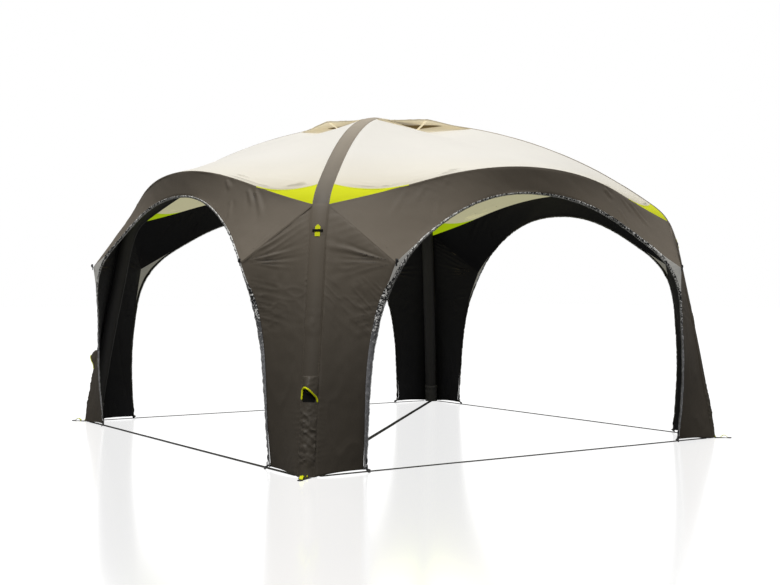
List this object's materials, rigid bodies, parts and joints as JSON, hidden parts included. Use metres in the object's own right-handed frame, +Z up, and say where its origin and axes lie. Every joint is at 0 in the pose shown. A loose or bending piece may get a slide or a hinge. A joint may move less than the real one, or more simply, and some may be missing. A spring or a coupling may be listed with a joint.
{
  "type": "inflatable party tent",
  "caption": "Open-sided inflatable canopy tent: crossed air beams carry a domed square roof with vented cap, arched openings and tapered corner legs.",
  "frame": {"origin": "on the ground, at the middle of the square footprint, under the beams' crossing", "axes": "+Z up; +X towards the right-hand opening and +Y towards the back opening, so the beams run along the two diagonals of X and Y"},
  "size_m": [4.2138, 4.2138, 2.647],
  "materials": {
    "dark_fabric": "coated woven polyester",
    "cream_fabric": "coated woven polyester",
    "lime_fabric": "coated woven polyester",
    "band_fabric": "coated woven polyester",
    "tan_fabric": "coated woven polyester",
    "zip_tape": "woven zip tape",
    "beam_film": "smooth coated sleeve",
    "black_webbing": "woven webbing"
  },
  "bodies": {
    "root": {"leg_back_right": "dark_fabric", "leg_back_left": "dark_fabric", "leg_front_left": "dark_fabric", "leg_front_right": "dark_fabric", "arch_panel_right": "dark_fabric", "arch_panel_back": "dark_fabric", "arch_panel_left": "dark_fabric", "arch_panel_front": "dark_fabric", "roof_panel_right": "cream_fabric", "roof_panel_back": "cream_fabric", "roof_panel_left": "cream_fabric", "roof_panel_front": "cream_fabric", "vent_panel_right": "tan_fabric", "vent_panel_back": "tan_fabric", "vent_panel_left": "tan_fabric", "vent_panel_front": "tan_fabric", "vent_hood_right": "tan_fabric", "vent_hood_back": "tan_fabric", "vent_hood_left": "tan_fabric", "vent_hood_front": "tan_fabric", "roof_band_back_right": "band_fabric", "roof_band_back_left": "band_fabric", "roof_band_front_left": "band_fabric", "roof_band_front_right": "band_fabric", "crown_patch": "band_fabric", "lime_panel_back_right_right": "lime_fabric", "lime_panel_back_right_back": "lime_fabric", "lime_panel_back_left_back": "lime_fabric", "lime_panel_back_left_left": "lime_fabric", "lime_panel_front_left_left": "lime_fabric", "lime_panel_front_left_front": "lime_fabric", "lime_panel_front_right_front": "lime_fabric", "lime_panel_front_right_right": "lime_fabric", "door_trim_right": "zip_tape", "door_trim_back": "zip_tape", "door_trim_left": "zip_tape", "door_trim_front": "zip_tape", "air_beam_front_left_to_back_right": "beam_film", "air_beam_front_right_to_back_left": "beam_film", "beam_boot_back_right": "beam_film", "beam_boot_back_left": "beam_film", "beam_boot_front_left": "beam_film", "beam_boot_front_right": "beam_film", "peg_tab_back_right": "black_webbing", "peg_tab_back_left": "black_webbing", "peg_tab_front_left": "black_webbing", "peg_tab_front_right": "black_webbing", "ground_strap_right": "black_webbing", "ground_strap_back": "black_webbing", "ground_strap_left": "black_webbing", "ground_strap_front": "black_webbing", "ground_strap_diagonal": "black_webbing", "valve_hood_front_left": "dark_fabric", "valve_hood_front_right": "dark_fabric"}
  },
  "joints": []
}
